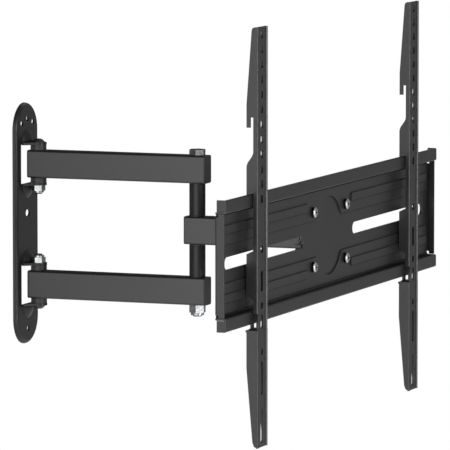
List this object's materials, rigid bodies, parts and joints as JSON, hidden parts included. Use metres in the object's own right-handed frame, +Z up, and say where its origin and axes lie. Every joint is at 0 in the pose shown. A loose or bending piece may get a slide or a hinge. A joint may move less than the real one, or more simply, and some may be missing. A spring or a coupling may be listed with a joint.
{
  "type": "full motion tv wall mount",
  "caption": "Black steel wall bracket for a flat television with a folding arm, a swivel and tilt head, and a slotted plate that carries tall hook-on brackets.",
  "frame": {"origin": "on the wall plane behind the wall plate, midway between the upper and the lower arm, with the arms straight out", "axes": "+X to the right for someone who faces the screen, +Y into the wall, -Y towards the room, +Z up"},
  "size_m": [0.655, 0.3679, 0.43],
  "materials": {
    "black_steel": "satin powder coat",
    "arm_steel": "satin powder coat",
    "plate_steel": "satin powder coat",
    "black_plastic": "matt",
    "zinc_steel": "zinc plated",
    "dark_zinc_steel": "zinc plated",
    "black_screw": "black oxide"
  },
  "bodies": {
    "wall_bracket": {"wall_plate": "black_steel", "wall_pivot_bolts": "black_steel", "wall_pivot_nuts": "zinc_steel"},
    "first_arm": {"wall_pivot_bushings": "black_plastic", "upper_arm": "arm_steel", "lower_arm": "arm_steel", "arm_end_caps": "black_plastic", "post_bolt": "dark_zinc_steel", "post_nut": "zinc_steel", "post_spacer_tubes": "black_steel"},
    "second_arm": {"second_arm": "arm_steel", "second_arm_post_bushings": "black_plastic", "second_arm_swivel_bushings": "black_plastic", "second_arm_caps": "black_plastic"},
    "swivel_head": {"swivel_yoke": "black_steel", "swivel_bolt": "zinc_steel", "swivel_nut": "zinc_steel", "tilt_bolts": "black_screw", "tilt_nuts": "black_screw", "tilt_washers": "black_plastic"},
    "tv_plate": {"tilt_bracket": "black_steel", "tv_plate": "plate_steel", "plate_bolts": "zinc_steel", "plate_nuts": "zinc_steel"},
    "left_bracket": {"left_tv_bracket": "plate_steel"},
    "right_bracket": {"right_tv_bracket": "plate_steel"},
    "left_lock": {"left_lock_screw": "black_screw"},
    "right_lock": {"right_lock_screw": "black_screw"}
  },
  "joints": [
    {"name": "wall_swing", "type": "hinge", "parent": "wall_bracket", "child": "first_arm", "pos_m": [0, -0.0178, 0], "axis": [0, 0, 1], "range_deg": [-90, 90]},
    {"name": "elbow", "type": "hinge", "parent": "first_arm", "child": "second_arm", "pos_m": [0, -0.2028, 0], "axis": [0, 0, -1], "range_deg": [-120, 120]},
    {"name": "head_swivel", "type": "hinge", "parent": "second_arm", "child": "swivel_head", "pos_m": [0, -0.3252, 0], "axis": [0, 0, 1], "range_deg": [-60, 60]},
    {"name": "head_tilt", "type": "hinge", "parent": "swivel_head", "child": "tv_plate", "pos_m": [0, -0.3312, 0], "axis": [1, 0, 0], "range_deg": [-5, 15]},
    {"name": "left_slide", "type": "slide", "parent": "tv_plate", "child": "left_bracket", "axis": [1, 0, 0], "range_m": [-0.062, 0.137]},
    {"name": "right_slide", "type": "slide", "parent": "tv_plate", "child": "right_bracket", "axis": [1, 0, 0], "range_m": [-0.134, 0.065]},
    {"name": "left_lock_turn", "type": "slide", "parent": "left_bracket", "child": "left_lock", "axis": [0, 0, 1], "range_m": [-0.01, 0]},
    {"name": "right_lock_turn", "type": "slide", "parent": "right_bracket", "child": "right_lock", "axis": [0, 0, 1], "range_m": [-0.01, 0]}
  ]
}
